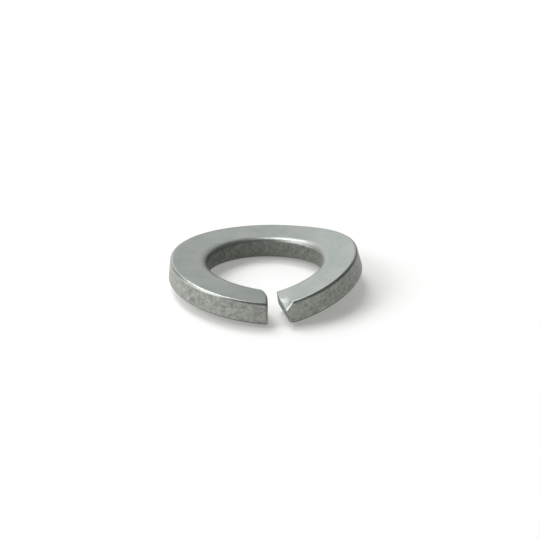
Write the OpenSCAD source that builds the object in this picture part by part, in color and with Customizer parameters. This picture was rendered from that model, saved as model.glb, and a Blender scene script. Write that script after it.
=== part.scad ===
// Curved spring lock washer for an 8 mm screw.
// One turn of rounded rectangular spring wire, cut across at the front and
// pressed into a shallow trough, so the left and right sides stand up and the
// valley line runs from the gap to the back.
// Axes: +Z up along the bore, +Y from the gap to the back, +X to the right.
// Angles are counted from +X towards +Y; the gap is near -90.
// The washer lies as it comes to rest: on the inner corner of its right end
// and on the outer edge of its back.

/* [Ring] */
// Diameter of the hole
bore_d = 8.6; // [8.1:0.1:9]
// Diameter over the outside of the ring
outer_d = 14.3; // [13.8:0.1:15]
// Thickness of the flat section
thick = 1.7; // [1.4:0.05:2]
// Radius along the two outer edges of the section
edge_r_out = 0.21; // [0.1:0.01:0.4]
// Radius along the lower inner edge of the section
edge_r_in = 0.5; // [0.3:0.05:0.6]
// Width of the oval rounding along the upper inner edge
crown_w = 0.54; // [0.3:0.02:0.7]
// Height of the oval rounding along the upper inner edge
crown_h = 0.34; // [0.3:0.02:0.6]

/* [Bow] */
// How far the right side stands over the valley line
rise_right = 0.62; // [0.2:0.02:0.9]
// How far the left side stands over the valley line
rise_left = 0.28; // [0.1:0.02:0.9]
// How sharply the sides turn up, where 2 is an even curve
bow_power = 2.35; // [2:0.05:3]
// Height gained once round, from the right end to the left end
pitch = 0.28; // [0:0.02:0.6]
// How far the right end dips below the bow
dip_right = 0.58; // [0:0.02:0.8]
// How far the left end dips below the bow
dip_left = 0.45; // [0:0.02:0.8]
// Arc over which each end dips, in degrees
dip_arc = 57; // [30:1:80]
// Lean of the resting washer towards its back, in degrees
lean_back = 2.4; // [0:0.1:4]
// Lean of the resting washer towards its left side, in degrees
lean_left = 1.65; // [0:0.05:3]

/* [Ends] */
// Angle of the right end's top edge past the front line, in degrees
right_end_top = 11; // [9:0.5:14]
// Angle of the right end's bottom edge past the front line, in degrees
right_end_bottom = 15.8; // [12:0.2:18]
// How far the right end's bottom edge swings from the hole to the outside, in degrees
right_swing = 1.2; // [0:0.2:2]
// How far the right end's face bulges beside the hole, in degrees
right_bulge = 1.4; // [0:0.2:2]
// How far the right end's top edge bows out in its middle, in degrees
right_bow = 1.2; // [0:0.2:2]
// Distance by which the left end's face passes the front line
left_end_x = 0.21; // [-0.2:0.01:0.4]
// How far the left end's inner corner is drawn back into a nose
left_nose = 0.52; // [0:0.04:0.8]
// Radius that the shear rolled over on the left end's top edge
left_roll = 0.2; // [0.1:0.05:0.4]
// Length that the shear rolled up on the right end's outer bottom corner
right_roll = 0.5; // [0.15:0.05:0.6]
// Small radius along the other edges of both cut faces
cut_r = 0.1; // [0.05:0.01:0.15]
// Depth of the shear mark at the right end's outer top corner
mark_depth = 0.6; // [0.1:0.05:0.7]
// Angle at which the shear mark starts past the front line, in degrees
mark_start = 16.8; // [15:0.2:20]
// Arc over which the shear mark gains its depth, in degrees
mark_arc = 4.4; // [4:0.2:8]
// Distance of the shear mark's inner border from the middle of the band
mark_in = 0.1; // [0:0.05:0.6]

/* [Hidden] */
mid_r = (bore_d + outer_d) / 4;
band_w = (outer_d - bore_d) / 2;
// the swept inner wall stands this far inside the hole, which is then cut true
allow = 0.04;
// width of the band over which the left end's nose is drawn back
nose_w = 0.65 * band_w;
arc_steps = 84;
fillet_steps = 4;
end_top = -90 + right_end_top;
end_bottom = -90 + right_end_bottom;
// radii along the cut edges, at the outer bottom, outer top, inner top and
// inner bottom corner of the section
right_cut = [cut_r, cut_r, cut_r, cut_r];
left_cut = [cut_r, left_roll, left_roll, cut_r];

function clamp01(v) = min(1, max(0, v));

// height of the section's middle over the valley line, at angle a
function mid_z(a) =
    let (c = cos(a), s = sin(a),
         up = (c > 0 ? rise_right : rise_left) * pow(abs(c), bow_power),
         dr = clamp01(1 - (a + 90) / dip_arc),
         dl = clamp01(1 - (270 - a) / dip_arc))
    up + pitch * (a - 90) / 360 - dip_right * dr * dr - dip_left * dl * dl
       + mid_r * (tan(lean_left) * c - tan(lean_back) * s);

// outward tilt of the section, in degrees: the bow's own slope and the lean
function tilt(a) =
    let (c = cos(a), s = sin(a),
         up = (c > 0 ? rise_right : rise_left) * pow(abs(c), bow_power))
    atan(bow_power * up / mid_r) + lean_left * c - lean_back * s;

// slope of the mid line along the ring
function along(a) = (mid_z(a + 0.5) - mid_z(a - 0.5)) / (mid_r * PI / 180);

// the right face leans and bulges, and the left face is square to the front line
// with its inner corner drawn back: the angle of the point at fraction f of the
// ring, at place off and height t
function right_angle(off, t) =
    let (q = clamp01(t / thick + 0.5), low = end_bottom - right_swing * off / band_w)
    low + (end_top - low) * q
        - right_bulge * pow(sin(180 * pow(q, 0.75)), 2) * clamp01(-2 * off / band_w)
        - right_bow * q * q * cos(180 * (clamp01(off / band_w + 0.5) - 0.5));
function left_angle(off) =
    270 + asin(left_end_x / (mid_r + off))
        - left_nose * pow(clamp01(1 - (off + band_w / 2) / nose_w), 2.4) / (mid_r + off) * 180 / PI;
function ring_angle(f, off, t) =
    right_angle(off, t) * (1 - f) + left_angle(off) * f;

// how far the shear mark lowers a point of the section at angle a
function mark(a, off, t) =
    mark_depth * max(0, (mark_start - 90 - a) / mark_arc)
        * pow(clamp01((off - mark_in) / (band_w / 2 - 0.05 - mark_in)), 2)
        * pow(clamp01(t / thick + 0.5), 2);

// the height once the mark has lowered it, where the angle follows the lowered height
function lowered(f, off, t, n = 5) =
    n == 0 ? t : t - mark(ring_angle(f, off, lowered(f, off, t, n - 1)), off, t);

// a point of the section: off is its radial place, t its height in the section
function outer_pt(f, off, t) =
    let (tt = lowered(f, off, t), a = ring_angle(f, off, tt),
         k = sqrt(1 + pow(along(a), 2)), p = tilt(a),
         r = mid_r + off * cos(p) - tt * k * sin(p))
    [r * cos(a), r * sin(a), mid_z(a) + off * sin(p) + tt * k * cos(p)];
function inner_pt(f, off, t) =
    let (a = ring_angle(f, off, t), k = sqrt(1 + pow(along(a), 2)), p = tilt(a),
         r = mid_r + off)
    [r * cos(a), r * sin(a), mid_z(a) + off * tan(p) + t * k / cos(p)];

// how far a rounded cut edge of radius r stands in, at distance u from the cut
function inset(u, r) = u >= r ? 0 : r - sqrt(r * r - pow(r - u, 2));

// one outline, from the outer bottom edge round over the top to the inner one:
// place, height, and whether the point belongs to the hole's side
function outline(f) =
    let (u = min(f, 1 - f) * arc_len, cut = f < 0.5 ? right_cut : left_cut,
         s = [for (r = cut) inset(u, r)],
         lift = f < 0.5 ? 0.45 * inset(u, right_roll) : s[0],
         ro = [max(edge_r_out - s[0], 0.03), max(edge_r_out - s[1], 0.03)],
         cw = max(crown_w - s[2], 0.03), ch = max(crown_h - s[2], 0.03),
         ri = max(edge_r_in - s[3], 0.03),
         b = band_w / 2, h = thick / 2, flat = h - (s[1] + s[2]) / 2)
    concat(
    [for (i = [0:fillet_steps]) let (w = 90 * (1 - i / fillet_steps))
        [b - s[0] - ro[0] * (1 - cos(w)), -h + lift + ro[0] * (1 - sin(w)), false]],
    [for (i = [0:fillet_steps]) let (w = 90 * i / fillet_steps)
        [b - s[1] - ro[1] * (1 - cos(w)), h - s[1] - ro[1] * (1 - sin(w)), false]],
    [[0.8 * b, h - s[1], false], [0.6 * b, h - s[1], false], [0.35 * b, flat, false], [0, flat, false]],
    [for (i = [0:fillet_steps]) let (w = 90 * (1 - i / fillet_steps))
        [-b - allow + s[2] + cw * (1 - cos(w)), h - s[2] - ch * (1 - sin(w)), true]],
    [for (i = [0:fillet_steps]) let (w = 90 * i / fillet_steps)
        [-b - allow + s[3] + ri * (1 - cos(w)), -h + s[3] + ri * (1 - sin(w)), true]]);

// the points of one section; k below 1 draws a smaller section on the cut face
function section(f, k = 1) =
    [for (p = outline(f)) p[2] ? inner_pt(f, k * p[0], k * p[1]) : outer_pt(f, k * p[0], k * p[1])];

// fractions of the ring, closer together at both ends
arc_len = 350 * PI / 180 * mid_r;
fractions = concat(
    [for (u = [0, 0.03, 0.08, 0.15, 0.25, 0.36, 0.5]) u / arc_len],
    [for (i = [1:arc_steps - 1]) let (f = i / arc_steps)
        if (f * arc_len > 0.6 && (1 - f) * arc_len > 0.8) f],
    [for (u = [0.65, 0.5, 0.38, 0.27, 0.18, 0.1, 0.04, 0]) 1 - u / arc_len]);

rings = [for (f = fractions) section(f)];
ring_n = len(rings);
side_n = len(rings[0]);
flat_pts = [for (r = rings) each r];
floor_z = min([for (p = flat_pts) p[2]]);
all_pts = [for (p = concat(flat_pts, section(0, 0.5), section(1, 0.5), [outer_pt(0, 0, 0), outer_pt(1, 0, 0)]))
    p - [0, 0, floor_z]];

module bent_ring() {
    last = ring_n - 1;
    skin = [for (i = [0:last - 1]) for (j = [0:side_n - 1])
        let (k = (j + 1) % side_n, a = i * side_n + j, b = i * side_n + k,
             c = (i + 1) * side_n + k, d = (i + 1) * side_n + j)
        each [[a, b, c], [a, c, d]]];
    // each cut face: a band in to the smaller section, then a fan to the middle
    a0 = ring_n * side_n;
    b0 = a0 + side_n;
    cap_a = [for (j = [0:side_n - 1]) let (k = (j + 1) % side_n)
        each [[j, a0 + j, a0 + k], [j, a0 + k, k], [b0 + side_n, a0 + k, a0 + j]]];
    cap_b = [for (j = [0:side_n - 1]) let (k = (j + 1) % side_n, e = last * side_n)
        each [[e + j, e + k, b0 + k], [e + j, b0 + k, b0 + j], [b0 + side_n + 1, b0 + j, b0 + k]]];
    polyhedron(points = all_pts, faces = concat(skin, cap_a, cap_b), convexity = 6);
}

module spring_washer() {
    color([0.6, 0.62, 0.6])
    difference() {
        bent_ring();
        translate([0, 0, -1]) cylinder(h = 7, d = bore_d, $fn = 96);
    }
}

spring_washer();
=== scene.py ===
import bpy, math
import numpy as np
from mathutils import Matrix, Vector, noise


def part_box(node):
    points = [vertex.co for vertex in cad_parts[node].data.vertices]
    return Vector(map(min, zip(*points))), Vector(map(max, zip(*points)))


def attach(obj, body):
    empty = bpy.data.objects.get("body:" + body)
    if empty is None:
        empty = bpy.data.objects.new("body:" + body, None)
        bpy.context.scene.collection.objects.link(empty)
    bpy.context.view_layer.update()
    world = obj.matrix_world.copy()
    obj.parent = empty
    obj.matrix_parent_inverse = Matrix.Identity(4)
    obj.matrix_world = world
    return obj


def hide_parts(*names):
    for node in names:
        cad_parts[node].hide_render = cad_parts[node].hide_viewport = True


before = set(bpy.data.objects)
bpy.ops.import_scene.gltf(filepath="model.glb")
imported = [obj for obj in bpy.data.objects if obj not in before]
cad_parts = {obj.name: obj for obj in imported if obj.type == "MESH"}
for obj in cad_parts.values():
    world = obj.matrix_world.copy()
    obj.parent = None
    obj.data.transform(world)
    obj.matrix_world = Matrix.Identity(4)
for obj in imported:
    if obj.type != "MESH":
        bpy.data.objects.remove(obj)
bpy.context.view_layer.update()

MM = 0.001

# ----------------------------------------------------------------- shape rule
# The same rule and dimensions as the CAD source, in millimetres and degrees.
BORE_D, OUTER_D, THICK = 8.6, 14.3, 1.7
R_OUT, R_IN, IN_W, IN_H = 0.21, 0.5, 0.54, 0.34
RISE_R, RISE_L, BOW_N = 0.62, 0.28, 2.35
PITCH, DIP_R, DIP_L, DIP_ARC = 0.28, 0.58, 0.45, 57.0
LEAN_B, LEAN_L = 2.4, 1.65
END_TOP, END_BOTTOM, END_SWING, END_BULGE, END_BOW, LEFT_X = -90 + 11.0, -90 + 15.8, 1.2, 1.4, 1.2, 0.21
LEFT_NOSE, LEFT_ROLL, RIGHT_ROLL, CUT_R = 0.52, 0.2, 0.5, 0.1
MARK_D, MARK_START, MARK_ARC, MARK_IN = 0.6, 16.8, 4.4, 0.1
MID_R = (BORE_D + OUTER_D) / 4
BAND = (OUTER_D - BORE_D) / 2
NOSE_W = 0.65 * BAND
ARC_LEN = 350 * math.pi / 180 * MID_R


def mid_z(a):
    c, s = np.cos(np.radians(a)), np.sin(np.radians(a))
    up = np.where(c > 0, RISE_R, RISE_L) * np.abs(c) ** BOW_N
    dr = np.clip(1 - (a + 90) / DIP_ARC, 0, 1)
    dl = np.clip(1 - (270 - a) / DIP_ARC, 0, 1)
    lean = MID_R * (math.tan(math.radians(LEAN_L)) * c - math.tan(math.radians(LEAN_B)) * s)
    return up + PITCH * (a - 90) / 360 - DIP_R * dr * dr - DIP_L * dl * dl + lean


def tilt(a):
    c, s = np.cos(np.radians(a)), np.sin(np.radians(a))
    up = np.where(c > 0, RISE_R, RISE_L) * np.abs(c) ** BOW_N
    return np.degrees(np.arctan(BOW_N * up / MID_R)) + LEAN_L * c - LEAN_B * s


def ring_angle(f, off, t):
    q = np.clip(t / THICK + 0.5, 0, 1)
    low = END_BOTTOM - END_SWING * off / BAND
    bulge = END_BULGE * np.sin(math.pi * q ** 0.75) ** 2 * np.clip(-2 * off / BAND, 0, 1)
    bow = END_BOW * q * q * np.cos(math.pi * np.clip(off / BAND, -0.5, 0.5))
    right = low + (END_TOP - low) * q - bulge - bow
    nose = LEFT_NOSE * np.clip(1 - (off + BAND / 2) / NOSE_W, 0, 1) ** 2.4
    left = 270 + np.degrees(np.arcsin(LEFT_X / (MID_R + off)) - nose / (MID_R + off))
    return right * (1 - f) + left * f


def mark(a, off, t):
    return (MARK_D * np.maximum(0, (MARK_START - 90 - a) / MARK_ARC)
            * np.clip((off - MARK_IN) / (BAND / 2 - 0.05 - MARK_IN), 0, 1) ** 2
            * np.clip(t / THICK + 0.5, 0, 1) ** 2)


def place(f, off, t, w):
    """Points of the bent ring: w is 1 where the outer wall's rule holds and 0 where the hole's does."""
    tt = t
    for _ in range(6):
        tt = t - mark(ring_angle(f, off, tt), off, t)
    a = ring_angle(f, off, tt)
    k = np.sqrt(1 + ((mid_z(a + 0.5) - mid_z(a - 0.5)) / (MID_R * math.pi / 180)) ** 2)
    p = np.radians(tilt(a))
    z = mid_z(a)
    ro, zo = MID_R + off * np.cos(p) - tt * k * np.sin(p), z + off * np.sin(p) + tt * k * np.cos(p)
    ri, zi = MID_R + off, z + off * np.tan(p) + tt * k / np.cos(p)
    r, h = ro * w + ri * (1 - w), zo * w + zi * (1 - w)
    a = np.radians(a)
    return np.stack([r * np.cos(a), r * np.sin(a), h], -1)


def inset(u, r):
    return 0.0 if u >= r else r - math.sqrt(r * r - (r - u) ** 2)


NF, N_OUT, N_TOP, N_IN, N_LOW = 12, 10, 20, 8, 14


def outline(f):
    """The wire's section at fraction f: radial place, height, and the weights of outer wall, hole wall, cut and edge."""
    u = min(f, 1 - f) * ARC_LEN
    if f < 0.5:
        cut = [CUT_R, CUT_R, CUT_R, CUT_R]
        lift = 0.45 * inset(u, RIGHT_ROLL)
    else:
        cut = [CUT_R, LEFT_ROLL, LEFT_ROLL, CUT_R]
        lift = inset(u, CUT_R)
    s = [inset(u, r) for r in cut]
    near = [max(0.0, 1 - u / r) for r in cut]
    ro = [max(R_OUT - s[0], 0.03), max(R_OUT - s[1], 0.03)]
    iw, ih, rl = max(IN_W - s[2], 0.03), max(IN_H - s[2], 0.03), max(R_IN - s[3], 0.03)
    b, h = BAND / 2, THICK / 2
    pts = []

    def add(off, t, wall_o, wall_i, c, edge):
        pts.append((off, t, wall_o, wall_i, c, edge))

    def line(n, p, q, wall_o, wall_i, c0, c1):
        for i in range(1, n):
            k = i / n
            add(p[0] + (q[0] - p[0]) * k, p[1] + (q[1] - p[1]) * k, wall_o, wall_i, c0 + (c1 - c0) * k, 0)

    def arc(n, cx, cy, rx, ry, start, c):
        for i in range(n + 1):
            w = start + math.pi / 2 * i / n
            x = math.cos(w)
            add(cx + rx * x, cy + ry * math.sin(w), max(x, 0), max(-x, 0), c, abs(math.sin(2 * w)))

    arc(NF, b - s[0] - ro[0], -h + lift + ro[0], ro[0], ro[0], -math.pi / 2, near[0])
    p0 = pts[-1]
    top_o = (b - s[1], h - s[1] - ro[1])
    line(N_OUT, p0, top_o, 1, 0, near[0], near[1])
    arc(NF, b - s[1] - ro[1], h - s[1] - ro[1], ro[1], ro[1], 0, near[1])
    p0 = pts[-1]
    line(N_TOP, p0, (-b + s[2] + iw, h - s[2]), 0, 0, near[1], near[2])
    arc(NF + 4, -b + s[2] + iw, h - s[2] - ih, iw, ih, math.pi / 2, near[2])
    p0 = pts[-1]
    line(N_IN, p0, (-b + s[3], -h + s[3] + rl), 0, 1, near[2], near[3])
    arc(NF, -b + s[3] + rl, -h + s[3] + rl, rl, rl, math.pi, near[3])
    p0 = pts[-1]
    line(N_LOW, p0, pts[0], 0, 0, near[3], near[0])
    return np.array(pts)


def fbm(p, scale, seed, octaves=3):
    v, amp, tot = 0.0, 1.0, 0.0
    q = Vector(p) * scale + Vector((seed * 17.3, seed * 5.1, seed * 9.7))
    for _ in range(octaves):
        v += amp * noise.noise(q)
        tot += amp
        amp *= 0.5
        q = q * 2.03
    return v / tot


def washer_mesh():
    ends = [0.0, 0.003, 0.010, 0.021, 0.036, 0.055, 0.078, 0.1, 0.13, 0.17, 0.22, 0.28, 0.34, 0.41, 0.48, 0.55]
    us = ends + list(np.linspace(0.6, ARC_LEN - 0.6, 680)) + [ARC_LEN - u for u in reversed(ends)]
    n = len(us)
    rings, zone = [], []
    for u in us:
        sec = outline(u / ARC_LEN)
        off, t = sec[:, 0], sec[:, 1]
        w = np.clip(off / BAND + 0.5, 0, 1)
        w = w * w * (3 - 2 * w)
        rings.append(place(np.full(len(sec), u / ARC_LEN), off, t, w))
        zone.append(sec[:, 2:6])
    m = len(rings[0])
    faces = []
    for i in range(n - 1):
        for j in range(m):
            k = (j + 1) % m
            faces.append((i * m + j, (i + 1) * m + j, (i + 1) * m + k, i * m + k))
    # cut faces: the last outline shrinks to its middle
    extra, ecol = [], []
    base = n * m
    for end, f in ((0, 0.0), (n - 1, 1.0)):
        prev = [end * m + j for j in range(m)]
        sec = outline(f)
        io, it = sec[:, 0], sec[:, 1]
        co, ct = 0.0, 0.0
        for q in (0.93, 0.84, 0.74, 0.62, 0.48, 0.32, 0.16):
            oo, tt = co + (io - co) * q, ct + (it - ct) * q
            w = np.clip(oo / BAND + 0.5, 0, 1)
            pts = place(np.full(m, f), oo, tt, w * w * (3 - 2 * w))
            ids = [base + len(extra) + j for j in range(m)]
            extra.extend(pts.tolist())
            ecol.extend([[0, 0, 1, 0]] * m)
            for j in range(m):
                k = (j + 1) % m
                q4 = (prev[j], prev[k], ids[k], ids[j])
                faces.append(q4 if end == 0 else q4[::-1])
            prev = ids
        mid = base + len(extra)
        extra.append(place(np.array([f]), np.array([co]), np.array([ct]), np.array([0.5]))[0].tolist())
        ecol.append([0, 0, 1, 0])
        for j in range(m):
            k = (j + 1) % m
            q3 = (prev[j], prev[k], mid)
            faces.append(q3 if end == 0 else q3[::-1])
    verts = np.concatenate(rings + [np.array(extra)])
    cols = np.concatenate(zone + [np.array(ecol, float)])
    return verts, faces, cols


verts, faces, cols = washer_mesh()
cad_lo, cad_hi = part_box("spring_washer")
floor_z = verts[:, 2].min()
verts[:, 2] -= floor_z

me = bpy.data.meshes.new("washer_body")
me.from_pydata([tuple(v) for v in (verts * MM)], [], faces)
me.update()
# the rolled wire is never quite even: a slow waviness and a fine coating relief, moved along the normals
nrm = np.zeros(len(verts) * 3)
me.vertices.foreach_get("normal", nrm)
nrm = nrm.reshape(-1, 3)
disp = np.array([
    0.010 * fbm(p, 0.55, 1, 2) + 0.0045 * fbm(p, 2.2, 2, 3)
    + (0.012 * fbm(p, 3.5, 3, 3) if c[2] > 0.5 else 0.0)
    for p, c in zip(verts, cols)])
moved = verts + nrm * disp[:, None]
moved[:, 2] = np.maximum(moved[:, 2], 0.0)
me.vertices.foreach_set("co", (moved * MM).ravel())
attr = me.color_attributes.new("zone", "FLOAT_COLOR", "POINT")
attr.data.foreach_set("color", cols.astype(np.float32).ravel())
for p in me.polygons:
    p.use_smooth = True
me.update()
washer = bpy.data.objects.new("washer_body", me)
bpy.context.scene.collection.objects.link(washer)

# ----------------------------------------------------------------- material
def coating():
    mat = bpy.data.materials.new("coated_spring_steel")
    mat.use_nodes = True
    nt = mat.node_tree
    nt.nodes.clear()
    N, L = nt.nodes, nt.links

    def node(kind, **kw):
        x = N.new(kind)
        for k, v in kw.items():
            if k in x.inputs:
                x.inputs[k].default_value = v
            else:
                setattr(x, k, v)
        return x

    def mix(kind, fac, a, b, blend="MIX"):
        x = N.new("ShaderNodeMix")
        x.data_type = kind
        if kind == "RGBA":
            x.blend_type = blend
            ia, ib, out = 6, 7, 2
        else:
            ia, ib, out = 2, 3, 0
        for slot, v in ((0, fac), (ia, a), (ib, b)):
            if hasattr(v, "is_output"):
                L.new(v, x.inputs[slot])
            else:
                x.inputs[slot].default_value = v
        return x.outputs[out]

    def ramp(src, stops):
        x = N.new("ShaderNodeMapRange")
        L.new(src, x.inputs["Value"])
        x.inputs["From Min"].default_value, x.inputs["From Max"].default_value = stops[0], stops[1]
        x.inputs["To Min"].default_value, x.inputs["To Max"].default_value = stops[2], stops[3]
        return x.outputs[0]

    out = node("ShaderNodeOutputMaterial")
    bsdf = node("ShaderNodeBsdfPrincipled")
    L.new(bsdf.outputs[0], out.inputs["Surface"])
    tc = node("ShaderNodeTexCoord")
    zone = node("ShaderNodeAttribute", attribute_name="zone")
    sep = node("ShaderNodeSeparateColor")
    L.new(zone.outputs["Color"], sep.inputs[0])
    wall_o, wall_i, cut = sep.outputs[0], sep.outputs[1], sep.outputs[2]
    edge = zone.outputs["Alpha"]

    def tex(scale, detail, rough, dist=0.0):
        x = node("ShaderNodeTexNoise", Scale=scale, Detail=detail, Roughness=rough, Distortion=dist)
        L.new(tc.outputs["Object"], x.inputs["Vector"])
        return x.outputs["Fac"]

    cloud = tex(520.0, 4.0, 0.6)
    blotch = tex(2300.0, 2.0, 0.5, 0.3)
    mottle = tex(5200.0, 3.0, 0.6, 0.3)
    grain = tex(13000.0, 2.0, 0.6)
    base = mix("RGBA", ramp(cloud, (0.35, 0.68, 0.0, 1.0)), (0.157, 0.180, 0.161, 1), (0.203, 0.215, 0.203, 1))
    base = mix("RGBA", ramp(grain, (0.34, 0.66, 0.0, 0.30)), base, (0.135, 0.144, 0.136, 1))
    # the walls were sheared and tumbled: blotchier and a little warmer; their mottle is also made lighter than
    # the top face, painted light that stands in for light falling on the sides
    speck = mix("FLOAT", 0.62, blotch, mottle)
    wall_mottle_and_painted_light = mix("RGBA", ramp(speck, (0.36, 0.64, 0.0, 1.0)), (0.152, 0.156, 0.141, 1), (0.362, 0.371, 0.341, 1))
    base = mix("RGBA", mix("FLOAT", 0.85, 0.0, wall_o), base, wall_mottle_and_painted_light)
    # the hole's wall is the same mottle multiplied darker: painted shade inside the hole
    hole_wall_painted_shade = mix("RGBA", 1.0, wall_mottle_and_painted_light, (0.61, 0.62, 0.60, 1), "MULTIPLY")
    base = mix("RGBA", mix("FLOAT", 0.85, 0.0, wall_i), base, hole_wall_painted_shade)
    base = mix("RGBA", mix("FLOAT", 0.8, 0.0, cut), base, (0.15, 0.155, 0.145, 1))
    base = mix("RGBA", ramp(edge, (0.30, 0.80, 0.0, 1.0)), base, (0.175, 0.182, 0.175, 1))
    L.new(base, bsdf.inputs["Base Color"])
    rough = mix("FLOAT", ramp(mottle, (0.35, 0.65, 0.0, 1.0)), 0.42, 0.52)
    # the edges were rubbed smooth and bright in the tumbler
    worn = ramp(edge, (0.25, 0.85, 0.0, 1.0))
    rough = mix("FLOAT", wall_i, rough, 0.58)
    rough = mix("FLOAT", worn, rough, mix("FLOAT", ramp(wall_i, (0.0, 0.6, 0.0, 1.0)), 0.27, 0.36))
    L.new(rough, bsdf.inputs["Roughness"])
    bsdf.inputs["Metallic"].default_value = 0.8
    bump = node("ShaderNodeBump", Strength=0.35, Distance=0.00001)
    L.new(mix("FLOAT", 0.5, mottle, grain), bump.inputs["Height"])
    L.new(bump.outputs[0], bsdf.inputs["Normal"])
    return mat


mat = coating()
me.materials.append(mat)
for slot in bpy.data.objects["spring_washer"].material_slots if "spring_washer" in bpy.data.objects else []:
    slot.material = mat
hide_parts("spring_washer")
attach(washer, "root")

# ----------------------------------------------------------------- floor
fm = bpy.data.meshes.new("floor")
fm.from_pydata([(-0.6, -0.6, 0), (0.6, -0.6, 0), (0.6, 0.9, 0), (-0.6, 0.9, 0)], [], [(0, 1, 2, 3)])
floor = bpy.data.objects.new("floor", fm)
bpy.context.scene.collection.objects.link(floor)
fmat = bpy.data.materials.new("floor")
fmat.use_nodes = True
fb = fmat.node_tree.nodes["Principled BSDF"]
fb.inputs["Base Color"].default_value = (0.42, 0.42, 0.427, 1)
fb.inputs["Roughness"].default_value = 0.7
fb.inputs["Specular IOR Level"].default_value = 0.2
fb.inputs["Emission Color"].default_value = (0.985, 1.0, 0.94, 1)
fb.inputs["Emission Strength"].default_value = 0.285
fm.materials.append(fmat)

# ----------------------------------------------------------------- light
def area(name, toward, dist, size, power, color=(1, 1, 1)):
    d = Vector(toward).normalized()
    data = bpy.data.lights.new(name, "AREA")
    data.shape = "DISK"
    data.size = size
    data.energy = power
    data.color = color
    ob = bpy.data.objects.new(name, data)
    ob.location = d * dist
    ob.rotation_euler = (-d).to_track_quat("-Z", "Y").to_euler()
    bpy.context.scene.collection.objects.link(ob)
    return ob


def panel(name, at, size, power):
    """A soft box overhead that faces straight down."""
    ob = area(name, (0, 0, 1), 0.5, size[0], power)
    ob.data.shape = "RECTANGLE"
    ob.data.size_y = size[1]
    ob.location = at
    ob.rotation_euler = (0, 0, 0)
    return ob


def strip(name, at, size, turn, power):
    """A soft box overhead whose long side is turned about the vertical."""
    ob = panel(name, at, size, power)
    ob.rotation_euler = (0, 0, math.radians(turn))
    return ob


def low(name, az, power):
    """A wide, low soft box close over the floor."""
    ob = area(name, around(az, 9), 0.5, 0.42, power)
    ob.data.shape = "RECTANGLE"
    ob.data.size_y = 0.14
    return ob


def around(az, el):
    a, e = math.radians(az), math.radians(el)
    return (math.cos(a) * math.cos(e), math.sin(a) * math.cos(e), math.sin(e))


strip("overhead_strip", (-0.195, 0.245, 0.5), (0.38, 0.23), 133, 3.5)
panel("overhead_far_left", (-0.75, 0.05, 0.5), (0.6, 0.9), 2.2)
panel("overhead_left", (-0.48, -0.08, 0.5), (0.4, 0.5), 1.7)
panel("overhead_back", (-0.05, 0.85, 0.5), (1.2, 0.5), 1.5)
area("back", around(84, 27), 0.9, 0.7, 0.85)
area("side", around(150, 45), 0.5, 0.22, 0.25)
area("side_front", around(195, 36), 0.5, 0.3, 1.25)
area("side_back", around(120, 28), 0.5, 0.45, 0.42)
low("low_left", 182, 0.95)
low("low_front", 240, 0.42)
low("low_back", 112, 0.22)
low("low_right", -68, 0.22)
world = bpy.data.worlds.new("studio")
bpy.context.scene.world = world
world.use_nodes = True
bg = world.node_tree.nodes["Background"]
bg.inputs[0].default_value = (0.985, 1.0, 0.94, 1)
bg.inputs[1].default_value = 0.22

# ----------------------------------------------------------------- camera
ELEV, ROLL = math.radians(26.10), math.radians(0.20)
TX, TY, F_PX, DIST, RO = 264.93, 271.20, 2538.7, 26.597, 7.15
ry = np.array([[math.cos(ROLL), 0, math.sin(ROLL)], [0, 1, 0], [-math.sin(ROLL), 0, math.cos(ROLL)]])
axes = np.array([[1, 0, 0], [0, math.sin(ELEV), math.cos(ELEV)], [0, math.cos(ELEV), -math.sin(ELEV)]]) @ ry
eye = axes.T @ np.array([-(TX - 270) / F_PX * DIST, (TY - 270) / F_PX * DIST, -DIST])
eye = (eye * RO + np.array([0, 0, -floor_z])) * MM
cam_data = bpy.data.cameras.new("camera")
cam_data.sensor_width = 36
cam_data.lens = F_PX / 540 * 36
cam_data.clip_start, cam_data.clip_end = 0.01, 5
cam = bpy.data.objects.new("camera", cam_data)
cam.matrix_world = Matrix([
    [axes[0][0], axes[1][0], -axes[2][0], eye[0]],
    [axes[0][1], axes[1][1], -axes[2][1], eye[1]],
    [axes[0][2], axes[1][2], -axes[2][2], eye[2]],
    [0, 0, 0, 1]])
bpy.context.scene.collection.objects.link(cam)
bpy.context.scene.camera = cam
bpy.context.scene.view_settings.view_transform = "Standard"
